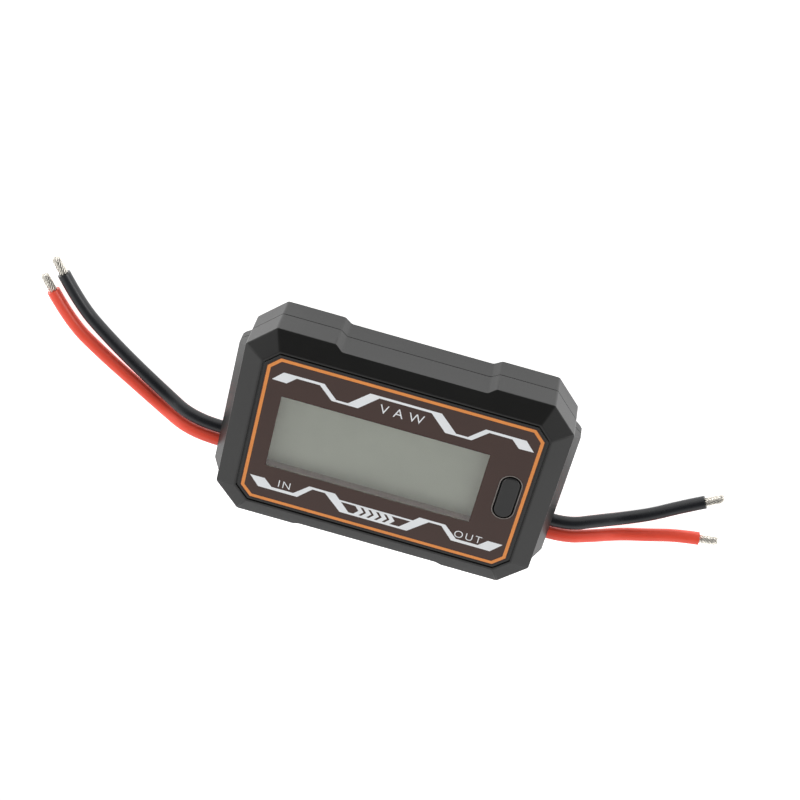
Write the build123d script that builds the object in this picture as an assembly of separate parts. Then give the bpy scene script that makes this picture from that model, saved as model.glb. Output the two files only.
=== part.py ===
from build123d import *
from math import pi, sqrt, tan
import os

# Inline DC power meter: a battery monitor with its shunt inside and four free silicone leads.
# Millimetres.  X runs from the supply side (-) to the load side (+), Y to the top of the display,
# Z out of the display.  The meter lies on its back, with the origin in the middle of its rear face.

# ---- case ----------------------------------------------------------------------------------------
body_length = 88.4          # along X, without the lead bosses
body_width = 59.6           # along Y
body_height = 17.8          # rear face to label
corner_leg = 7.15           # 45 degree corner cuts, measured along each side
rim_height = 15.3           # where the sloping bezel starts
bezel_run = 5.2             # width of the sloping bezel
parting_height = 7.85       # where the two shells meet
parting_gap = 0.15
wall = 2.0
corner_round = 1.1          # upright edges of the corner cuts
rim_round = 0.3             # between side walls and bezel
bezel_round = 1.0           # between bezel and front face
rear_bevel = 1.0
upper_recess = 1.45         # depth of the long shallow recess in the upper side
lower_recess = 0.8          # and in the lower side
recess_half = 19.4
recess_ramp = 2.05
recess_round = 1.5
recess_overcut = 0.02       # keeps the cutter's faces off the wall's own
tongue_thickness = 0.9      # locating tongue of the rear shell
tongue_height = 1.2
fit_gap = 0.1               # between pieces that are fitted together by hand

# ---- label, its groove and the display window ----------------------------------------------------
label_end_margin = 6.8      # case's end to the label's
label_side_margin = 6.85
label_thickness = 0.4
label_gap = 0.05
groove_inset = 0.7          # flat ring between label and groove
groove_width = 0.45
groove_depth = 0.5
window_length = 56.5
window_width = 22.6
window_x, window_y = -3.55, 0.05
window_reveal = 0.25        # from the lens's edge to the inner face of the gasket's lip
lip_thickness = 0.6         # gasket lip that lines the shell's window opening
front_wall = 1.5            # plastic behind the label

# ---- button and switch ---------------------------------------------------------------------------
button_x, button_y = 32.35, -0.15
key_length = 12.95
key_width = 4.85
key_gap = 0.45
key_proud = 0.4
key_crown = 0.35            # rounding of the key's top edge
key_travel = 0.4
collar_wall = 0.25
collar_rise = 0.1           # collar round the key, above the label
flange_step = 1.1
flange_thickness = 1.0
switch_size = 6.0
switch_height = 3.1
plunger_diameter = 3.3
plunger_clearance = 0.1
plunger_sink = 0.6

# ---- display stack, from the glass down to the board ---------------------------------------------
gasket_thickness = 1.3
gasket_band = 1.7
polarizer_thickness = 0.2
glass_thickness = 0.9
glass_end_margin = 2.25     # glass past the window at its ends
glass_side_margin = 2.9     # and at its sides
contact_ledge = 3.4         # strip of the front glass that overhangs the rear glass
backlight_thickness = 1.7
holder_wall = 1.4
holder_gap = 0.15
connector_width = 2.4
board_thickness = 1.6
board_end_gap = 5.2         # inner face of the end wall to the board
board_edge = 1.95           # screw axis to the board's side
board_post_gap = 1.63       # the board's corner cut to the case-screw post

# ---- fasteners -----------------------------------------------------------------------------------
case_screw_inset = 7.9      # screw axis to the body's ends, and to its sides with the next value
case_screw_side = 8.2
post_diameter = 6.0
case_screw_diameter = 2.6
case_screw_head = 4.6
case_screw_head_height = 1.8
case_screw_recess = 1.2     # head sits this far inside the rear face
case_screw_length = 9.0
case_drive = (2.6, 0.7, 1.0)        # cross recess: span, width, depth
board_screw_x = (-25.0, 20.0)
standoff_gap = 0.8          # display holder to standoff
standoff_diameter = 3.6
board_screw_diameter = 1.6
board_screw_head = 2.9
board_screw_head_height = 1.0
board_screw_length = 4.6
board_drive = (1.7, 0.4, 0.6)

# ---- leads ---------------------------------------------------------------------------------------
lead_diameter = 3.6         # 14 AWG silicone lead
conductor_diameter = 2.4
negative_y = -10.2
positive_y = -14.5
boss_reach = 2.3            # lead boss, out from the end wall
boss_half = 20.8
boss_taper = 1.7
boss_rear = 4.7
boss_rear_bevel = 0.6
boss_edge_height = 9.95     # front edge of the boss at its outer face
boss_root_height = 13.5     # and at the end wall
sleeve_inside = 3.6         # insulation inside the case, past the end wall
saddle_width = 2.0
strand_length = 5.3
strand_round = 0.7
resting_gap = 0.03

# Routes of the free leads: (distance out from the boss, y, z) of each corner.
rest_height = lead_diameter / 2 + resting_gap
source_negative_route = [(0, negative_y, parting_height), (8.0, negative_y, parting_height),
                         (18.5, -7.9, 2.3), (28.0, -1.9, rest_height), (36.5, 4.4, rest_height),
                         (44.7, 11.4, rest_height), (50.5, 19.6, rest_height)]
source_positive_route = [(0, positive_y, parting_height), (8.0, positive_y, parting_height),
                         (18.5, -12.7, 2.3), (28.0, -7.2, rest_height), (37.0, -1.6, rest_height),
                         (46.7, 5.3, rest_height), (52.7, 13.6, rest_height)]
load_negative_route = [(0, negative_y, parting_height), (5.0, negative_y, parting_height),
                       (12.0, -8.4, 5.4), (20.0, -7.0, 2.0), (26.5, -3.5, rest_height),
                       (32.7, 1.1, rest_height), (38.6, 4.9, rest_height)]
load_positive_route = [(0, positive_y, parting_height), (5.0, positive_y, parting_height),
                       (12.0, -13.6, 5.5), (20.0, -12.7, 2.0), (27.5, -10.6, rest_height),
                       (34.5, -8.2, rest_height), (40.7, -7.2, rest_height)]

# ---- power path and board parts ------------------------------------------------------------------
bar_thickness = 1.5
bar_drop = 0.05             # solder film between conductor and bar
shunt_width = 6.0
positive_bar_width = 3.6
tab_width = 2.2
tab_x = 22.0
joint_length = 5.0
joint_radius = 1.6
microcontroller_size, microcontroller_height = 9.0, 1.4
microcontroller_x, microcontroller_y = 8.0, 9.0
amplifier_size = (5.0, 4.0, 1.6)
amplifier_x, amplifier_y = -6.0, 1.0
regulator_size = (6.5, 6.0, 2.3)
regulator_x, regulator_y = 24.0, 8.0
crystal_size = (8.0, 3.8, 2.6)
crystal_x, crystal_y = 8.0, 0.5
diode_size = (4.4, 2.7, 2.2)
diode_x, diode_y = -28.0, 1.0
can_diameter, can_height = 6.3, 5.4
can_base = 0.6
can_x = (-20.0, -11.0)
can_y = 10.5
chip_size = (2.0, 1.25, 0.5)
chip_pitch = 3.2
chip_count = 6
chip_row_x = -2.0
resistor_row_y = -3.4
capacitor_row_y = 16.2

# ---- derived levels and sizes --------------------------------------------------------------------
half_length, half_width = body_length / 2, body_width / 2
corner_shift = 2 - sqrt(2)                       # what a 45 degree cut loses per unit of inset
label_length = body_length - 2 * label_end_margin
label_width = body_width - 2 * label_side_margin
label_floor = body_height - label_thickness
front_inside = label_floor - front_wall
bezel_inside = rim_height - 1.6                  # ceiling of the case around the display pocket
exit_x = half_length + boss_reach
inner_half_length = half_length - wall
inner_half_width = half_width - upper_recess - wall
inner_corner_sum = half_length + half_width - corner_leg - wall * sqrt(2)
glass_length = window_length + 2 * glass_end_margin
glass_width = window_width + 2 * glass_side_margin
glass_top = front_inside - gasket_thickness - polarizer_thickness
front_glass_bottom = glass_top - glass_thickness
rear_glass_bottom = front_glass_bottom - glass_thickness
board_top = rear_glass_bottom - backlight_thickness
board_bottom = board_top - board_thickness
holder_half_width = glass_width / 2 + holder_gap + holder_wall
board_screw_y = window_y + holder_half_width + standoff_gap + standoff_diameter / 2
board_half_length = inner_half_length - board_end_gap
board_half_width = board_screw_y + board_edge
screw_x = half_length - case_screw_inset
screw_y = half_width - case_screw_side
post_clearance = sqrt(2) * (post_diameter / 2 + board_post_gap)
board_corner = board_half_length + board_half_width + post_clearance - screw_x - screw_y
switch_top = board_top + switch_height
flange_top = front_inside - fit_gap
flange_bottom = flange_top - flange_thickness
key_top = body_height + key_proud
sleeve_end = inner_half_length - sleeve_inside
conductor_end = board_half_length - joint_length - 1.0
bar_top = parting_height - conductor_diameter / 2 - bar_drop
bar_bottom = bar_top - bar_thickness


# ---- helpers -------------------------------------------------------------------------------------
def octagon(half_x, half_y, leg):
    corners = [(half_x, leg - half_y), (half_x, half_y - leg),
               (half_x - leg, half_y), (leg - half_x, half_y)]
    return make_face(Polyline(*(corners + [(-x, -y) for x, y in corners]), close=True))


def case_plan(inset=0.0):
    """Plan of the case with rounded corners and without its recesses, drawn in by inset."""
    plan = octagon(half_length - inset, half_width - inset, corner_leg - corner_shift * inset)
    return fillet(plan.vertices(), corner_round)


def recess_plan(depth, overcut=0.0):
    """What the long recess takes from the upper side, with soft corners."""
    foot, end, top = half_width + overcut, recess_half + recess_ramp, half_width - depth
    far = end + 2 * recess_round
    floor = FilletPolyline((-far, foot), (-end, foot), (-recess_half, top), (recess_half, top),
                           (end, foot), (far, foot), radius=recess_round)
    outside = Polyline((far, foot), (far, half_width + 1), (-far, half_width + 1), (-far, foot))
    return make_face(floor + outside)


def recess_plans(overcut=0.0):
    return [recess_plan(upper_recess, overcut), Rot(0, 0, 180) * recess_plan(lower_recess, overcut)]


def loop_at(solid, height):
    return solid.edges().filter_by_position(Axis.Z, height - 0.005, height + 0.005)


def cavity_plan(grow=0.0):
    """Plan of the room inside the case, or of a ring around it when grow is positive."""
    hx, hy = inner_half_length + grow, inner_half_width + grow
    return octagon(hx, hy, hx + hy - inner_corner_sum - grow * sqrt(2))


def label_plan(grow=0.0):
    leg = corner_leg - corner_shift * (label_end_margin - grow)
    return octagon(label_length / 2 + grow, label_width / 2 + grow, leg)


def slab(plan, bottom, top):
    return Pos(0, 0, bottom) * extrude(plan, top - bottom)


def block(x, y, bottom, top, size_x, size_y):
    return Pos(x, y, (bottom + top) / 2) * Box(size_x, size_y, top - bottom)


def peg(x, y, bottom, top, diameter):
    return Pos(x, y, (bottom + top) / 2) * Cylinder(diameter / 2, top - bottom)


def rod(x0, x1, y, z, diameter):
    """Round bar along X."""
    return Pos((x0 + x1) / 2, y, z) * Rot(0, 90, 0) * Cylinder(diameter / 2, abs(x1 - x0))


def pill_round_key(grow=0.0):
    """The key's upright slot shape, or a larger one round it."""
    outline = SlotOverall(key_length + 2 * grow, key_width + 2 * grow)
    return Pos(button_x, button_y) * Rot(0, 0, 90) * outline


def window_block(grow, bottom, top):
    return block(window_x, window_y, bottom, top, window_length + 2 * grow, window_width + 2 * grow)


def four(x, y):
    return [(sx * x, sy * y) for sx in (-1, 1) for sy in (-1, 1)]


def boss(profile, side):
    """Lead boss at one end: an XZ profile (x out from the middle) run along Y, with its ends tapered."""
    outline = make_face(Polyline(*[(side * x, z) for x, z in profile], close=True))
    body = Pos(0, boss_half, 0) * extrude(Plane.XZ * outline, 2 * boss_half)
    plan = [(inner_half_length, -boss_half), (half_length, -boss_half), (exit_x, boss_taper - boss_half)]
    plan = plan + [(x, -y) for x, y in reversed(plan)]
    keep = make_face(Polyline(*[(side * x, y) for x, y in plan], close=True))
    return body & slab(keep, 0, body_height)


def lead_passages():
    """Round ways for both leads at both ends, split by the parting line."""
    ends = sleeve_end + 1, exit_x + 1
    return [rod(side * ends[0], side * ends[1], y, parting_height, lead_diameter + 2 * label_gap)
            for side in (-1, 1) for y in (negative_y, positive_y)]


def save(shape, name):
    export_step(shape, f"parts/{name}.step")


def save_group(solids, name):
    save(Compound(children=list(solids)), name)


# ---- case ----------------------------------------------------------------------------------------
def front_shell():
    rim, top = case_plan(), case_plan(bezel_run)
    shell = slab(rim, parting_height, rim_height)
    shell += loft([Pos(0, 0, rim_height) * rim, Pos(0, 0, body_height) * top], ruled=True)
    shell = fillet(loop_at(shell, rim_height), rim_round)
    shell = fillet(loop_at(shell, body_height), bezel_round)
    for plan in recess_plans(recess_overcut):
        shell -= slab(plan, parting_height, body_height)
    root = half_length - wall / 2
    profile = [(root, parting_height), (exit_x, parting_height), (exit_x, boss_edge_height),
               (half_length, boss_root_height), (root, boss_root_height)]
    for side in (-1, 1):
        shell += boss(profile, side)
    pocket = label_plan(-0.5)
    shell -= slab(cavity_plan(), parting_height, bezel_inside)
    shell -= slab(pocket, bezel_inside, front_inside)
    tongue_room = cavity_plan(tongue_thickness + fit_gap)
    shell -= slab(tongue_room, parting_height, parting_height + tongue_height + fit_gap)
    shell -= slab(label_plan(label_gap), label_floor, body_height)
    ring = label_plan(groove_inset + groove_width) - label_plan(groove_inset)
    shell -= slab(ring, body_height - groove_depth, body_height)
    shell -= window_block(window_reveal + lip_thickness + fit_gap, front_inside, label_floor)
    key_hole = pill_round_key(key_gap)
    collar = pill_round_key(key_gap + collar_wall)
    shell += slab(collar, label_floor, body_height + collar_rise)
    shell -= slab(key_hole, front_inside, body_height + collar_rise)
    for x, y in four(screw_x, screw_y):
        pilot_top = parting_height + case_screw_length
        shell += peg(x, y, parting_height, bezel_inside, post_diameter)
        shell -= peg(x, y, parting_height, pilot_top, case_screw_diameter + fit_gap)
    for x, y in board_screw_places():
        shell += peg(x, y, board_top, front_inside, standoff_diameter)
        shell -= peg(x, y, board_top, board_top + board_screw_length, board_screw_diameter + fit_gap)
    for passage in lead_passages():
        shell -= passage
    return shell


def rear_shell():
    top = parting_height - parting_gap
    plan = case_plan()
    for taken in recess_plans():
        plan -= taken
    shell = slab(plan, 0, top)
    shell = chamfer(loop_at(shell, 0), rear_bevel)
    root = half_length - wall / 2
    profile = [(root, top), (exit_x, top), (exit_x, boss_rear + boss_rear_bevel),
               (exit_x - boss_rear_bevel, boss_rear), (root, boss_rear)]
    for side in (-1, 1):
        shell += boss(profile, side)
    shell -= slab(cavity_plan(), wall, top)
    shell += slab(cavity_plan(tongue_thickness) - cavity_plan(), wall, parting_height + tongue_height)
    for x, y in four(screw_x, screw_y):
        shell += peg(x, y, wall, parting_height - parting_gap, post_diameter)
        shell -= peg(x, y, 0, parting_height, case_screw_diameter + 2 * fit_gap)
        shell -= peg(x, y, 0, case_screw_recess + case_screw_head_height, case_screw_head + 2 * fit_gap)
    middle_y = (negative_y + positive_y) / 2
    saddle_length = negative_y - positive_y + lead_diameter
    for side in (-1, 1):
        saddle_x = side * (sleeve_end + saddle_width / 2 + 1)
        shell += block(saddle_x, middle_y, wall, parting_height, saddle_width, saddle_length)
    for passage in lead_passages():
        shell -= passage
    return shell


def front_label():
    label = slab(label_plan(), label_floor, body_height)
    label -= window_block(label_gap, label_floor, body_height)
    return label - slab(pill_round_key(key_gap + collar_wall + label_gap), label_floor, body_height)


def display_lens():
    return window_block(0, label_floor, body_height)


# ---- button and switch ---------------------------------------------------------------------------
def mode_button():
    key = slab(pill_round_key(), flange_bottom, key_top)
    key = fillet(loop_at(key, key_top), key_crown)
    return key + slab(pill_round_key(flange_step), flange_bottom, flange_top)


def switch_plunger():
    return peg(button_x, button_y, switch_top - plunger_sink, flange_bottom, plunger_diameter)


def switch_body():
    body = block(button_x, button_y, board_top, switch_top, switch_size, switch_size)
    floor = switch_top - plunger_sink - key_travel - fit_gap
    bore = plunger_diameter + 2 * plunger_clearance
    return body - peg(button_x, button_y, floor, switch_top, bore)


# ---- display stack -------------------------------------------------------------------------------
def lcd_gasket():
    ring = window_block(gasket_band, glass_top + polarizer_thickness, front_inside)
    ring += window_block(window_reveal + lip_thickness, front_inside, label_floor - fit_gap)
    return ring - window_block(window_reveal, glass_top, body_height)


def lcd_polarizer():
    return window_block(gasket_band, glass_top, glass_top + polarizer_thickness)


def lcd_front_glass():
    return block(window_x, window_y, front_glass_bottom, glass_top, glass_length, glass_width)


def rear_glass_plate(bottom, top):
    middle_y = window_y + contact_ledge / 2
    return block(window_x, middle_y, bottom, top, glass_length, glass_width - contact_ledge)


def lcd_connector():
    y = window_y - glass_width / 2 + contact_ledge / 2
    return block(window_x, y, board_top, front_glass_bottom, glass_length - 4, connector_width)


def lcd_holder():
    room_length, room_width = glass_length + 2 * holder_gap, glass_width + 2 * holder_gap
    frame = block(window_x, window_y, board_top, front_glass_bottom + glass_thickness / 2,
                  room_length + 2 * holder_wall, 2 * holder_half_width)
    return frame - block(window_x, window_y, board_top, body_height, room_length, room_width)


# ---- board and what it carries -------------------------------------------------------------------
def board_screw_places():
    return [(x, side * board_screw_y) for x in board_screw_x for side in (-1, 1)]


def main_board():
    board = slab(octagon(board_half_length, board_half_width, board_corner), board_bottom, board_top)
    for x, y in board_screw_places():
        board -= peg(x, y, board_bottom, board_top, board_screw_diameter + 2 * fit_gap)
    return board


def screw(x, y, seat, head, head_height, shank, length, drive):
    """Screw from below: its head under the seat height, with a cross recess for the driver."""
    span, width, depth = drive
    bottom = seat - head_height
    body = peg(x, y, seat, seat + length, shank) + peg(x, y, bottom, seat, head)
    for size_x, size_y in ((span, width), (width, span)):
        body -= block(x, y, bottom, bottom + depth, size_x, size_y)
    return body


def board_screws():
    for x, y in board_screw_places():
        yield screw(x, y, board_bottom, board_screw_head, board_screw_head_height, board_screw_diameter,
                    board_screw_length, board_drive)


def case_screws():
    seat = case_screw_recess + case_screw_head_height
    for x, y in four(screw_x, screw_y):
        yield screw(x, y, seat, case_screw_head, case_screw_head_height, case_screw_diameter,
                    case_screw_length, case_drive)


def under_board(x, y, size):
    """Chip package soldered under the board."""
    return block(x, y, board_bottom - size[2], board_bottom, size[0], size[1])


def filter_capacitors():
    for x in can_x:
        can = peg(x, can_y, board_bottom - can_height, board_bottom - can_base, can_diameter)
        yield can + block(x, can_y, board_bottom - can_base, board_bottom, can_diameter, can_diameter)


def chip_row(y):
    first = chip_row_x - (chip_count - 1) / 2 * chip_pitch
    return [under_board(first + i * chip_pitch, y, chip_size) for i in range(chip_count)]


# ---- power path ----------------------------------------------------------------------------------
def bar(y, width, tab_y):
    """Flat bar between the conductors of one pole, with two tabs up to the board."""
    end = conductor_end + joint_length
    strip = block(0, y, bar_bottom, bar_top, 2 * end, width)
    for side in (-1, 1):
        strip += block(side * tab_x, tab_y, bar_top, board_bottom, tab_width, bar_thickness)
    return strip


def inner_conductors():
    for side in (-1, 1):
        for y in (negative_y, positive_y):
            yield rod(side * conductor_end, side * exit_x, y, parting_height, conductor_diameter)


def inner_sleeves(y):
    for side in (-1, 1):
        sleeve = rod(side * sleeve_end, side * exit_x, y, parting_height, lead_diameter)
        yield sleeve - rod(side * sleeve_end, side * exit_x, y, parting_height, conductor_diameter)


def solder_joints():
    for side in (-1, 1):
        for y in (negative_y, positive_y):
            x0, x1 = side * conductor_end, side * (conductor_end + joint_length)
            mound = rod(x0, x1, y, parting_height - bar_drop - 0.4, 2 * joint_radius)
            mound &= block(0, 0, bar_top, board_bottom, body_length, body_width)
            yield mound - rod(x0, x1, y, parting_height, conductor_diameter)


# ---- free leads ----------------------------------------------------------------------------------
def lead_and_strands(name, route, side):
    """Tube along the route, with the widest bends its runs allow, and the bare end beyond it."""
    points = [Vector(side * (exit_x + out), y, z) for out, y, z in route]
    runs = [b - a for a, b in zip(points, points[1:])]
    radii = []
    for before, after in zip(runs, runs[1:]):
        half_turn = before.get_angle(after) / 2 * pi / 180
        radii.append(0.45 * min(before.length, after.length) / tan(half_turn))
    path = FilletPolyline(*points, radius=radii)
    tube = sweep(Plane(origin=path @ 0, z_dir=path % 0) * Circle(lead_diameter / 2), path=path)
    section = pi * lead_diameter ** 2 / 4
    print(f"{name}: length {path.length:.1f}, least radius {min(radii):.1f}, "
          f"volume ratio {tube.volume / (section * path.length):.4f}")
    end_plane = Plane(origin=path @ 1, z_dir=path % 1)
    strands = end_plane * Pos(0, 0, strand_length / 2) * Cylinder(conductor_diameter / 2, strand_length)
    tip = strands.edges().sort_by_distance(points[-1] + runs[-1].normalized() * strand_length)[0]
    save(tube, f"{name}_lead")
    save(fillet(tip, strand_round), f"{name}_strands")


# ---- write every node ----------------------------------------------------------------------------
os.makedirs("parts", exist_ok=True)

save(front_shell(), "front_shell")
save(rear_shell(), "rear_shell")
save(front_label(), "front_label")
save(display_lens(), "display_lens")
save(mode_button(), "mode_button")
save(switch_plunger(), "switch_plunger")
save(switch_body(), "switch_body")
save(lcd_gasket(), "lcd_gasket")
save(lcd_polarizer(), "lcd_polarizer")
save(lcd_front_glass(), "lcd_front_glass")
save(rear_glass_plate(rear_glass_bottom, front_glass_bottom), "lcd_rear_glass")
save(rear_glass_plate(board_top, rear_glass_bottom), "lcd_backlight")
save(lcd_connector(), "lcd_connector")
save(lcd_holder(), "lcd_holder")
save(main_board(), "main_board")
save_group(board_screws(), "board_screws")
save_group(case_screws(), "case_screws")
microcontroller_box = (microcontroller_size, microcontroller_size, microcontroller_height)
save(under_board(microcontroller_x, microcontroller_y, microcontroller_box), "microcontroller")
save(under_board(amplifier_x, amplifier_y, amplifier_size), "current_amplifier")
save(under_board(regulator_x, regulator_y, regulator_size), "voltage_regulator")
save(under_board(crystal_x, crystal_y, crystal_size), "timing_crystal")
save(under_board(diode_x, diode_y, diode_size), "protection_diode")
save_group(filter_capacitors(), "filter_capacitors")
save_group(chip_row(resistor_row_y), "chip_resistors")
save_group(chip_row(capacitor_row_y), "chip_capacitors")
shunt_y = negative_y - positive_bar_width / 2 + shunt_width / 2
save(bar(shunt_y, shunt_width, negative_y), "shunt_bar")
save(bar(positive_y, positive_bar_width, positive_y), "positive_bar")
save_group(inner_conductors(), "inner_conductors")
save_group(inner_sleeves(negative_y), "inner_negative_sleeves")
save_group(inner_sleeves(positive_y), "inner_positive_sleeves")
save_group(solder_joints(), "solder_joints")
lead_and_strands("source_negative", source_negative_route, -1)
lead_and_strands("source_positive", source_positive_route, -1)
lead_and_strands("load_negative", load_negative_route, 1)
lead_and_strands("load_positive", load_positive_route, 1)
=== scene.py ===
from math import cos, pi, radians, sin, sqrt

import bmesh
import bpy
from mathutils import Matrix, Vector


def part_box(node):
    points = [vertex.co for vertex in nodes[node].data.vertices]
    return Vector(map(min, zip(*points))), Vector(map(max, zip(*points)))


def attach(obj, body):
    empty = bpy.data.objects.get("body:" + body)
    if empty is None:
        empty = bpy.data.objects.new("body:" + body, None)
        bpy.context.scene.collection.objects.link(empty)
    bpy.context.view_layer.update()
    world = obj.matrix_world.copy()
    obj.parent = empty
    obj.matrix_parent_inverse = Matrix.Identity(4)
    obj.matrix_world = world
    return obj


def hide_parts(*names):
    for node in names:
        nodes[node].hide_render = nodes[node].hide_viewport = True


# Inline DC power meter lying on its back: looks, printed graphics, leads, lights and camera.
# Blender works in metres; MM turns millimetres into metres.
MM = 0.001

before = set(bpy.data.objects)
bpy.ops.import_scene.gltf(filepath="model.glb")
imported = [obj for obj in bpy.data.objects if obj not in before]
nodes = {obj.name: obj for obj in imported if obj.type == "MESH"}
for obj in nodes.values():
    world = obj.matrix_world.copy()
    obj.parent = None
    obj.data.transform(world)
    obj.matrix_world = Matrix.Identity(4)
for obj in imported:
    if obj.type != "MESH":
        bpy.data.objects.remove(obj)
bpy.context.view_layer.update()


# ---- materials -----------------------------------------------------------------------------------
noise_low, noise_high = 0.3, 0.7        # most of a noise texture lies between these


def noise(tree, vector, size):
    """Noise whose features are about size metres across."""
    texture = tree.nodes.new("ShaderNodeTexNoise")
    for socket, number in (("Scale", 1 / size), ("Detail", 3.0), ("Roughness", 0.55)):
        texture.inputs[socket].default_value = number
    tree.links.new(vector, texture.inputs["Vector"])
    return texture.outputs["Fac"]


def mapped(tree, value, start, end, at_start, at_end, interpolation="LINEAR"):
    """A number that runs from at_start to at_end as a value passes from start to end."""
    spread = tree.nodes.new("ShaderNodeMapRange")
    spread.interpolation_type = interpolation
    for socket, number in (("From Min", start), ("From Max", end),
                           ("To Min", at_start), ("To Max", at_end)):
        spread.inputs[socket].default_value = number
    tree.links.new(value, spread.inputs["Value"])
    return spread.outputs["Result"]


def shades(tree, value, dark, light):
    """Colour that runs from dark to light along a noise."""
    ramp = tree.nodes.new("ShaderNodeValToRGB")
    stops = (noise_low, dark), (noise_high, light)
    for stop, (position, colour) in zip(ramp.color_ramp.elements, stops):
        stop.position = position
        stop.color = (*colour, 1)
    tree.links.new(value, ramp.inputs["Fac"])
    return ramp.outputs["Color"]


def bumpy(tree, shader, value, depth):
    """Raises the surface by up to depth metres along a value."""
    bump = tree.nodes.new("ShaderNodeBump")
    bump.inputs["Strength"].default_value = 1.0
    bump.inputs["Distance"].default_value = depth
    tree.links.new(value, bump.inputs["Height"])
    tree.links.new(bump.outputs["Normal"], shader.inputs["Normal"])


def surface(name, colour, roughness, vary=0.12, patch=4 * MM, grain=0.3 * MM, depth=0.004 * MM,
            rough_vary=0.06, **sockets):
    """Material with soft patches of colour, a fine grain in its gloss, and a fine relief."""
    made = bpy.data.materials.new(name)
    made.use_nodes = True
    tree = made.node_tree
    shader = tree.nodes["Principled BSDF"]
    place = tree.nodes.new("ShaderNodeTexCoord").outputs["Object"]
    dark = tuple(c * (1 - vary) for c in colour)
    light = tuple(min(1.0, c * (1 + vary)) for c in colour)
    patches, fine = noise(tree, place, patch), noise(tree, place, grain)
    gloss = mapped(tree, fine, noise_low, noise_high, roughness - rough_vary, roughness + rough_vary)
    tree.links.new(shades(tree, patches, dark, light), shader.inputs["Base Color"])
    tree.links.new(gloss, shader.inputs["Roughness"])
    if depth:
        bumpy(tree, shader, fine, depth)
    for socket, value in sockets.items():
        shader.inputs[socket.replace("_", " ")].default_value = value
    return made


def paint(piece, made):
    """Gives a piece or CAD node one material."""
    piece.data.materials.clear()
    piece.data.materials.append(made)


# What shows from outside.
case_plastic = surface("case_plastic", (0.007, 0.007, 0.0066), 0.34, patch=9 * MM, grain=0.18 * MM,
                       depth=0.002 * MM, rough_vary=0.05)
button_plastic = surface("button_plastic", (0.012, 0.012, 0.012), 0.4, patch=5 * MM, grain=0.15 * MM)
label_film = surface("label_film", (0.040, 0.014, 0.008), 0.38, vary=0.05, patch=7 * MM,
                     grain=0.12 * MM, depth=0.0015 * MM)
# Light grey-brown lip round the key: partly the film edge's own colour, partly a painted highlight.
film_edge_painted_highlight = surface("film_edge_painted_highlight", (0.22, 0.195, 0.18), 0.4, vary=0.08, patch=3 * MM)
orange_ink = surface("orange_ink", (0.80, 0.27, 0.05), 0.4, vary=0.06, grain=0.15 * MM,
                     depth=0.002 * MM)
white_ink = surface("white_ink", (0.83, 0.85, 0.87), 0.4, vary=0.03, grain=0.15 * MM,
                    depth=0.002 * MM)
black_silicone = surface("black_silicone", (0.009, 0.010, 0.013), 0.3, patch=6 * MM, grain=0.8 * MM,
                         depth=0.0015 * MM, rough_vary=0.04)
red_silicone = surface("red_silicone", (0.98, 0.095, 0.052), 0.32, vary=0.04, patch=6 * MM,
                       grain=0.8 * MM, depth=0.0015 * MM, rough_vary=0.04)
tinned_copper = surface("tinned_copper", (0.66, 0.63, 0.57), 0.22, vary=0.5, patch=0.5 * MM,
                        grain=0.2 * MM, depth=0.02 * MM, rough_vary=0.1, Metallic=1.0)
clear_lens = surface("clear_lens", (0.97, 0.98, 0.97), 0.08, vary=0.01, depth=0.0, rough_vary=0.03,
                     Transmission_Weight=1.0, IOR=1.49)
lcd_film = surface("lcd_film", (0.57, 0.595, 0.51), 0.45, vary=0.03, patch=20 * MM, grain=0.6 * MM,
                   depth=0.0, rough_vary=0.02)
# Brown of the gasket seen through the window's lower edge: partly its own colour, partly painted shade.
gasket_and_painted_shade = surface("gasket_and_painted_shade", (0.36, 0.28, 0.26), 0.6, vary=0.05, depth=0.0)

# What is inside the case.
green_board = surface("green_board", (0.02, 0.12, 0.045), 0.35, grain=0.25 * MM)
holder_plastic = surface("holder_plastic", (0.03, 0.03, 0.03), 0.5)
chip_epoxy = surface("chip_epoxy", (0.02, 0.02, 0.022), 0.55, grain=0.1 * MM, depth=0.008 * MM)
ceramic = surface("ceramic", (0.4, 0.28, 0.17), 0.5, grain=0.1 * MM)
zinc_steel = surface("zinc_steel", (0.5, 0.5, 0.51), 0.32, Metallic=1.0)
can_aluminium = surface("can_aluminium", (0.78, 0.78, 0.79), 0.25, Metallic=1.0)
bright_solder = surface("bright_solder", (0.75, 0.75, 0.73), 0.28, Metallic=1.0)
shunt_alloy = surface("shunt_alloy", (0.5, 0.36, 0.27), 0.35, Metallic=1.0)
bare_copper = surface("bare_copper", (0.8, 0.42, 0.28), 0.32, Metallic=1.0)
light_guide = surface("light_guide", (0.8, 0.83, 0.8), 0.3, vary=0.03)
contact_rubber = surface("contact_rubber", (0.25, 0.2, 0.2), 0.7)

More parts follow.
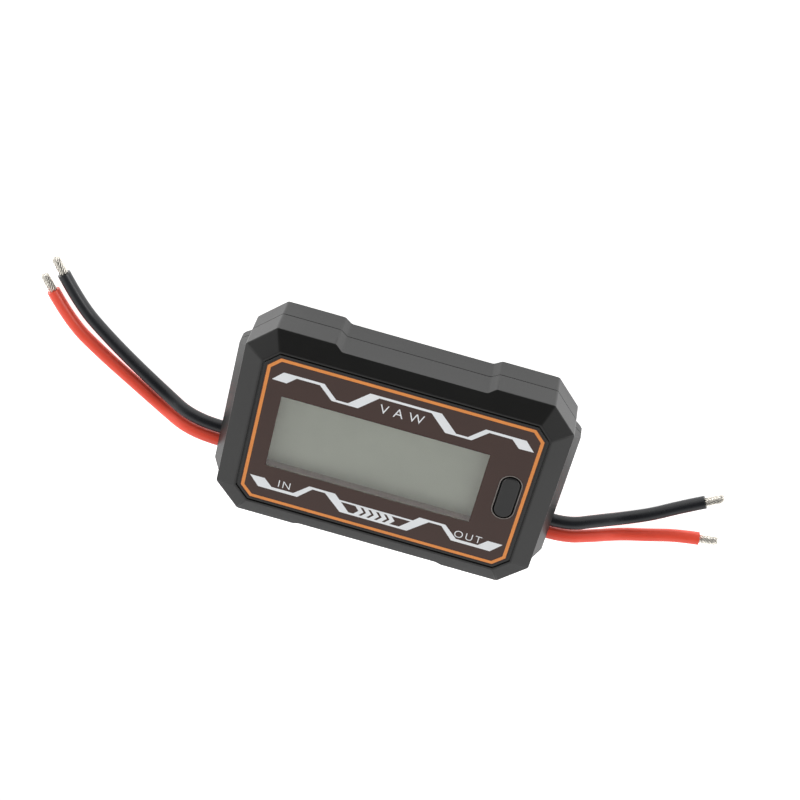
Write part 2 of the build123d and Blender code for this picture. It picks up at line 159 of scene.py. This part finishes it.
finishes = (
    (case_plastic, ("front_shell", "rear_shell")),
    (button_plastic, ("mode_button", "switch_plunger")),
    (label_film, ("front_label",)),
    (clear_lens, ("display_lens", "lcd_front_glass", "lcd_rear_glass")),
    (lcd_film, ("lcd_polarizer",)),
    (gasket_and_painted_shade, ("lcd_gasket",)),
    (light_guide, ("lcd_backlight",)),
    (contact_rubber, ("lcd_connector",)),
    (holder_plastic, ("lcd_holder",)),
    (green_board, ("main_board",)),
    (zinc_steel, ("board_screws", "case_screws", "switch_body", "timing_crystal")),
    (chip_epoxy, ("microcontroller", "current_amplifier", "voltage_regulator", "protection_diode",
                  "chip_resistors")),
    (can_aluminium, ("filter_capacitors",)),
    (ceramic, ("chip_capacitors",)),
    (shunt_alloy, ("shunt_bar",)),
    (bare_copper, ("positive_bar",)),
    (bright_solder, ("solder_joints",)),
    (tinned_copper, ("inner_conductors", "source_negative_strands", "source_positive_strands",
                     "load_negative_strands", "load_positive_strands")),
    (black_silicone, ("inner_negative_sleeves", "source_negative_lead", "load_negative_lead")),
    (red_silicone, ("inner_positive_sleeves", "source_positive_lead", "load_positive_lead")),
)
for finish, painted in finishes:
    for node in painted:
        paint(nodes[node], finish)


# ---- rounded shells ------------------------------------------------------------------------------
def add_piece(name, data, made):
    """Puts a new mesh or curve in the scene, riding on the housing."""
    piece = bpy.data.objects.new(name, data)
    bpy.context.scene.collection.objects.link(piece)
    paint(piece, made)
    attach(piece, "housing")
    return piece


same_point = 0.0005 * MM
same_plane = radians(0.3)
sharp_angle = radians(28)


def rounded_copy(node, name, width):
    """The CAD node's own shape with its sharp edges broken by a small rounding."""
    mesh = nodes[node].data.copy()
    for leftover in [a.name for a in mesh.attributes if a.name in ("custom_normal", "sharp_edge")]:
        mesh.attributes.remove(mesh.attributes[leftover])
    shape = bmesh.new()
    shape.from_mesh(mesh)
    bmesh.ops.remove_doubles(shape, verts=shape.verts, dist=same_point)
    bmesh.ops.dissolve_limit(shape, angle_limit=same_plane, verts=shape.verts, edges=shape.edges)
    # A flat face with a hole hangs together by a slit, which the rounding would tear open.
    bmesh.ops.triangulate(shape, faces=[face for face in shape.faces if len(face.verts) > 4])
    for face in shape.faces:
        face.smooth = True
    weights = shape.edges.layers.float.new("bevel_weight_edge")
    for edge in shape.edges:
        edge[weights] = float(len(edge.link_faces) == 2 and edge.calc_face_angle() > sharp_angle)
    shape.to_mesh(mesh)
    shape.free()
    piece = add_piece(name, mesh, case_plastic)
    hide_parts(node)
    bevel = piece.modifiers.new("broken_edges", "BEVEL")
    bevel.limit_method = "WEIGHT"
    bevel.width = width
    bevel.segments = 2
    bevel.use_clamp_overlap = False
    even = piece.modifiers.new("even_faces", "WEIGHTED_NORMAL")
    even.weight = 100


rounded_copy("front_shell", "front_case", 0.07 * MM)
rounded_copy("rear_shell", "rear_case", 0.09 * MM)


# ---- printed graphics ----------------------------------------------------------------------------
# Each print is a thin raised layer of ink that starts just under the label's surface. Its outline
# is in millimetres from the middle of the case.
label_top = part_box("front_label")[1].z
ink_height, detail_height = 0.02 * MM, 0.016 * MM
ink_sink = 0.004 * MM


def print_piece(name, layer, made):
    """Turns a finished layer of ink into a piece on the label."""
    bmesh.ops.recalc_face_normals(layer, faces=layer.faces)
    mesh = bpy.data.meshes.new(name)
    layer.to_mesh(mesh)
    layer.free()
    add_piece(name, mesh, made)


def ink(name, outlines, height=ink_height):
    """Raises closed outlines as one layer of white ink."""
    layer = bmesh.new()
    for outline in outlines:
        low = [layer.verts.new((x * MM, y * MM, label_top - ink_sink)) for x, y in outline]
        raised = bmesh.ops.extrude_face_region(layer, geom=[layer.faces.new(low)])
        tops = [v for v in raised["geom"] if isinstance(v, bmesh.types.BMVert)]
        bmesh.ops.translate(layer, verts=tops, vec=(0, 0, height + ink_sink))
    print_piece(name, layer, white_ink)


def mirrored(points):
    """The points, then their mirror images across the label's middle, in one run."""
    return points + [(-x, y) for x, y in reversed(points)]


def octagon(half_x, half_y, leg):
    """Rectangle with its corners cut off by leg, as a closed outline."""
    upper = mirrored([(half_x, half_y - leg), (half_x - leg, half_y)])
    return upper + [(-x, -y) for x, y in upper]


border_half_x, border_half_y = 37.15, 22.7
border_leg, border_width = 3.05, 0.9


def orange_border():
    """Line of even width round the label, cut across the corners like the label."""
    inner_leg = border_leg - (2 - sqrt(2)) * border_width
    outer = octagon(border_half_x, border_half_y, border_leg)
    inner = octagon(border_half_x - border_width, border_half_y - border_width, inner_leg)
    low, high = label_top - ink_sink, label_top + ink_height
    band = bmesh.new()
    rings = [[band.verts.new((x * MM, y * MM, z)) for x, y in outline]
             for outline, z in ((outer, low), (outer, high), (inner, high), (inner, low))]
    for here, there in zip(rings, rings[1:] + rings[:1]):
        for i in range(len(outer)):
            j = (i + 1) % len(outer)
            band.faces.new((here[i], here[j], there[j], there[i]))
    print_piece("border_print", band, orange_ink)


orange_border()

# Zigzag stripes, from the left end to the middle: one edge of the stripe, then its other edge.
upper_stripe_top = [(-35.3, 15.85), (-32.6, 18.75), (-21.7, 18.75), (-17.8, 14.95), (-14.6, 14.95),
                    (-9.6, 19.75)]
upper_stripe_under = [(-31.3, 15.75), (-29.0, 18.0), (-22.8, 18.0), (-18.9, 14.3), (-11.8, 14.3),
                      (-7.0, 19.05)]
lower_stripe_top = [(-35.3, -15.6), (-31.2, -15.6), (-28.9, -17.85), (-22.8, -17.85),
                    (-19.0, -14.25), (-11.8, -14.25), (-7.1, -19.05)]
lower_stripe_under = [(-32.5, -18.75), (-21.6, -18.75), (-18.0, -14.95), (-14.5, -14.95),
                      (-9.4, -19.7)]
ink("upper_stripe_print", [mirrored(upper_stripe_top) + mirrored(upper_stripe_under)[::-1]])
ink("lower_stripe_print", [mirrored(lower_stripe_top) + mirrored(lower_stripe_under)[::-1]])

# Chevrons that show which way the current runs, under a thin line between the stripe's legs.
chevron_top, chevron_foot = -16.3, -19.1
chevron_middle = (chevron_top + chevron_foot) / 2
chevron_stroke, chevron_point = 1.42, 1.2
chevron_first, chevron_pitch, chevron_count = -5.75, 2.18, 5
link_line = [(-10.5, -15.8), (10.5, -15.8), (9.95, -16.35), (-9.95, -16.35)]


def chevron(back):
    """Arrow head that points to the load end, from its rear edge at back."""
    front = back + chevron_stroke
    return [(back, chevron_top), (front, chevron_top), (front + chevron_point, chevron_middle),
            (front, chevron_foot), (back, chevron_foot), (back + chevron_point, chevron_middle)]


chevrons = [chevron(chevron_first + number * chevron_pitch) for number in range(chevron_count)]
ink("chevron_print", chevrons + [link_line], detail_height)

capital_share = 0.73            # a capital's height as a share of the typeface's size
stroke_trim = 0.03 * MM         # taken off the letters' outlines all round


def lettering(name, text, x, y, height, spacing):
    """Generic marking in the plain built-in typeface, with capitals of the given height."""
    words = bpy.data.curves.new(name, "FONT")
    words.body = text
    words.size = height * MM / capital_share
    words.space_character = spacing
    words.align_x = words.align_y = "CENTER"
    words.offset = -stroke_trim
    words.extrude = (ink_height + ink_sink) / 2
    piece = add_piece(name, words, white_ink)
    piece.location = (x * MM, y * MM, label_top + (ink_height - ink_sink) / 2)


lettering("supply_end_print", "IN", -25.65, -16.2, 2.4, 1.25)
lettering("load_end_print", "OUT", 25.7, -16.25, 2.4, 1.25)
lettering("unit_print", "V A W", -0.3, 15.95, 2.95, 1.05)


# ---- bead round the key --------------------------------------------------------------------------
key_x, key_y = 32.35, -0.15
key_size_x, key_size_y = 4.85, 12.95
bead_gap, bead_radius, bead_level = 0.57, 0.13, 17.85
bead_steps = 24                 # points on each round end


def key_bead():
    """Thin rounded lip of the film round the key, as one closed curve; its light colour is partly painted
    highlight.
    """
    half_width = (key_size_x / 2 + bead_gap) * MM
    straight = (key_size_y - key_size_x) / 2 * MM
    outline = []
    for side in (1, -1):
        for step in range(bead_steps + 1):
            turn = pi * step / bead_steps
            outline.append((side * half_width * cos(turn),
                            side * (straight + half_width * sin(turn))))
    bead = bpy.data.curves.new("key_bead", "CURVE")
    bead.dimensions = "3D"
    line = bead.splines.new("POLY")
    line.points.add(len(outline) - 1)
    for point, (x, y) in zip(line.points, outline):
        point.co = (key_x * MM + x, key_y * MM + y, bead_level * MM, 1)
    line.use_cyclic_u = True
    bead.bevel_depth = bead_radius * MM
    bead.bevel_resolution = 4
    add_piece("key_bead", bead, film_edge_painted_highlight)


key_bead()


# ---- leads ---------------------------------------------------------------------------------------
lead_diameter = 3.6 * MM
negative_y, positive_y = -10.2, -14.5
parting_height = 7.85
rest_height = 1.83
exit_x = 46.5

# Points in millimetres: distance out of the boss, place across the case, height.
source_negative_route = [(0, negative_y, parting_height), (8.0, negative_y, parting_height),
                         (18.5, -7.9, 2.3), (28.0, -1.9, rest_height), (36.5, 4.4, rest_height),
                         (44.7, 11.4, rest_height), (50.5, 19.6, rest_height)]
source_positive_route = [(0, positive_y, parting_height), (8.0, positive_y, parting_height),
                         (18.5, -12.7, 2.3), (28.0, -7.2, rest_height), (37.0, -1.6, rest_height),
                         (46.7, 5.3, rest_height), (52.7, 13.6, rest_height)]
load_negative_route = [(0, negative_y, parting_height), (5.0, negative_y, parting_height),
                       (12.0, -8.4, 5.4), (20.0, -7.0, 2.0), (26.5, -3.5, rest_height),
                       (32.7, 1.1, rest_height), (38.6, 4.9, rest_height)]
load_positive_route = [(0, positive_y, parting_height), (5.0, positive_y, parting_height),
                       (12.0, -13.6, 5.5), (20.0, -12.7, 2.0), (27.5, -10.6, rest_height),
                       (34.5, -8.2, rest_height), (40.7, -7.2, rest_height)]

# Bare end: a twist of strands round a core, drawn in towards the tip.
strand_count, strand_steps, strand_sides = 8, 40, 12
strand_reach, twist_pitch = 5.3 * MM, 7.0 * MM
lay_radius, strand_radius = 0.86 * MM, 0.33 * MM
uneven_by, uneven_phase = 0.1 * MM, 2.7             # strands end up to twice uneven_by short
tip_length, tip_narrowing, tip_thinning = 0.2, 0.34, 0.1    # shares of reach and of both radii
least_ring = 0.02 * MM                              # a thinner ring closes to one point
core_radius, core_tip_radius, core_short = 0.6 * MM, 0.5 * MM, 0.3 * MM


def strand(bundle, number):
    """One strand of the twist, a tube along a helix with a rounded tip."""
    start = 2 * pi * number / strand_count
    reach = strand_reach - uneven_by * (1 + sin(uneven_phase * number))
    tip_start = (1 - tip_length) * reach
    rings = []
    for step in range(strand_steps + 1):
        out = reach * step / strand_steps
        drawn_in = max(0.0, (out - tip_start) / (tip_length * reach)) ** 2
        radius = lay_radius * (1 - tip_narrowing * drawn_in)
        turn = start + 2 * pi * out / twist_pitch
        outward = Vector((cos(turn), sin(turn), 0))
        centre = Vector((radius * cos(turn), radius * sin(turn), out))
        slope = 2 * pi * radius / twist_pitch
        forward = Vector((-slope * sin(turn), slope * cos(turn), 1)).normalized()
        across = forward.cross(outward)
        thick = strand_radius * (1 - tip_thinning * drawn_in)
        to_end = (reach - out) / strand_radius
        if to_end < 1:
            thick *= sqrt(1 - (1 - to_end) ** 2)
        if thick > least_ring:
            angles = [2 * pi * k / strand_sides for k in range(strand_sides)]
            rings.append([bundle.verts.new(centre + thick * (cos(a) * outward + sin(a) * across))
                          for a in angles])
        else:
            rings.append([bundle.verts.new(centre)])
    bundle.faces.new(rings[0][::-1])
    for here, there in zip(rings, rings[1:]):
        for k in range(strand_sides):
            j = (k + 1) % strand_sides
            ahead = (there[0],) if len(there) == 1 else (there[j], there[k])
            bundle.faces.new((here[k], here[j], *ahead))


def bare_end(node, tip, direction):
    """Twisted and tinned strands beyond the cut insulation, in place of the plain CAD node."""
    bundle = bmesh.new()
    for number in range(strand_count):
        strand(bundle, number)
    core_length = strand_reach - core_short
    core = bmesh.ops.create_cone(bundle, cap_ends=True, segments=20, radius1=core_radius,
                                 radius2=core_tip_radius, depth=core_length)
    bmesh.ops.translate(bundle, verts=core["verts"], vec=(0, 0, core_length / 2))
    turn = direction.to_track_quat("Z", "Y").to_matrix().to_4x4()
    turn.translation = tip
    bundle.transform(turn)
    bmesh.ops.recalc_face_normals(bundle, faces=bundle.faces)
    for face in bundle.faces:
        face.smooth = len(face.verts) < 5       # all but the flat ends
    name = f"{node}_tinned"
    mesh = bpy.data.meshes.new(name)
    bundle.to_mesh(mesh)
    bundle.free()
    piece = add_piece(name, mesh, tinned_copper)
    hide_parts(node)
    return piece


def lead(name, route, side, made):
    """Limp silicone lead along a smooth curve from its boss to its bare end."""
    curve = bpy.data.curves.new(name, "CURVE")
    curve.dimensions = "3D"
    spline = curve.splines.new("NURBS")
    spline.points.add(len(route) - 1)
    points = [Vector((side * (exit_x + out), y, z)) * MM for out, y, z in route]
    for control, point in zip(spline.points, points):
        control.co = (*point, 1)
    spline.order_u = 3
    spline.use_endpoint_u = True
    spline.resolution_u = 14
    curve.bevel_depth = lead_diameter / 2
    curve.bevel_resolution = 8
    curve.use_fill_caps = True
    piece = add_piece(f"{name}_insulation", curve, made)
    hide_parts(f"{name}_lead")
    end = bare_end(f"{name}_strands", points[-1], points[-1] - points[-2])


lead("source_negative", source_negative_route, -1, black_silicone)
lead("source_positive", source_positive_route, -1, red_silicone)
lead("load_negative", load_negative_route, 1, black_silicone)
lead("load_positive", load_positive_route, 1, red_silicone)


# ---- floor, lights and camera --------------------------------------------------------------------
# Painted glow: the floor itself gives off light round the object in place of its shadow.
glow_strength = 0.95
glow_edge, glow_end = 125 * MM, 260 * MM        # the glow is full up to the first, and gone at the second


def floor():
    """Pale floor with a painted glow round the object, so that it shows hardly any shadow."""
    bpy.ops.mesh.primitive_plane_add(size=6, location=(0, 0, 0))
    plane = bpy.context.object
    plane.name = "floor"
    glowing_floor = surface("floor_with_painted_glow", (0.9, 0.9, 0.9), 0.7, vary=0.01, patch=200 * MM,
                      grain=2 * MM, depth=0.0, Emission_Color=(1, 1, 1, 1))
    tree = glowing_floor.node_tree
    distance = tree.nodes.new("ShaderNodeVectorMath")
    distance.operation = "LENGTH"
    place = tree.nodes.new("ShaderNodeTexCoord").outputs["Object"]
    tree.links.new(place, distance.inputs[0])
    # Painted glow, full round the object and fading to nothing further out.
    glow = mapped(tree, distance.outputs["Value"], glow_edge, glow_end, glow_strength, 0.0,
                  "SMOOTHSTEP")
    tree.links.new(glow, tree.nodes["Principled BSDF"].inputs["Emission Strength"])
    paint(plane, glowing_floor)


def softbox(name, x, power):
    """Wide area light at one end of the case, turned to its middle."""
    place = Vector((x, 0.25, 0.42))
    light = bpy.data.lights.new(name, "AREA")
    light.shape = "RECTANGLE"
    light.size, light.size_y = 0.8, 0.5
    light.energy = power
    lamp = bpy.data.objects.new(name, light)
    bpy.context.scene.collection.objects.link(lamp)
    lamp.location = place
    lamp.rotation_euler = (-place).to_track_quat("-Z", "Y").to_euler()


def along(tree, vector, direction):
    """How far a vector points along a direction, from -1 to 1."""
    dot = tree.nodes.new("ShaderNodeVectorMath")
    dot.operation = "DOT_PRODUCT"
    dot.inputs[1].default_value = Vector(direction).normalized()
    tree.links.new(vector, dot.inputs[0])
    return dot.outputs["Value"]


def studio_world():
    """White room: dark overhead towards the near side, and dimmer low down at the far side."""
    world = bpy.data.worlds.new("studio")
    world.use_nodes = True
    bpy.context.scene.world = world
    tree = world.node_tree
    place = tree.nodes.new("ShaderNodeTexCoord").outputs["Generated"]
    overhead = mapped(tree, along(tree, place, (0, 0.42, 0.907)), 0.35, 0.93, 1.25, 0.12,
                      "SMOOTHSTEP")
    far_side = mapped(tree, along(tree, place, (0, -1, 0)), 0.7, 1.0, 1.0, 0.35, "SMOOTHSTEP")
    both = tree.nodes.new("ShaderNodeMath")
    both.operation = "MULTIPLY"
    tree.links.new(overhead, both.inputs[0])
    tree.links.new(far_side, both.inputs[1])
    tree.links.new(both.outputs["Value"], tree.nodes["Background"].inputs["Strength"])
    tree.nodes["Background"].inputs["Color"].default_value = (1, 1, 1, 1)


def camera():
    """Looks down at the near side, rolled so that the near side is at the top of the picture."""
    place = Vector((-0.54, 270.0, 401.8)) * MM
    target = Vector((-1.8, 20.3, 17.8)) * MM
    picture_up = Vector((-0.27113, 0.80736, -0.52409))
    back = (place - target).normalized()
    right = picture_up.cross(back).normalized()
    up = back.cross(right)
    optics = bpy.data.cameras.new("camera")
    optics.sensor_width = 36
    optics.lens = 79.85
    optics.clip_start = 0.01
    eye = bpy.data.objects.new("camera", optics)
    bpy.context.scene.collection.objects.link(eye)
    turn = Matrix((right, up, back)).transposed().to_4x4()
    eye.matrix_world = Matrix.Translation(place) @ turn
    bpy.context.scene.camera = eye


floor()
studio_world()
softbox("left_softbox", -1.1, 5)
softbox("right_softbox", 1.1, 4)
camera()
bpy.context.scene.view_settings.view_transform = "Standard"
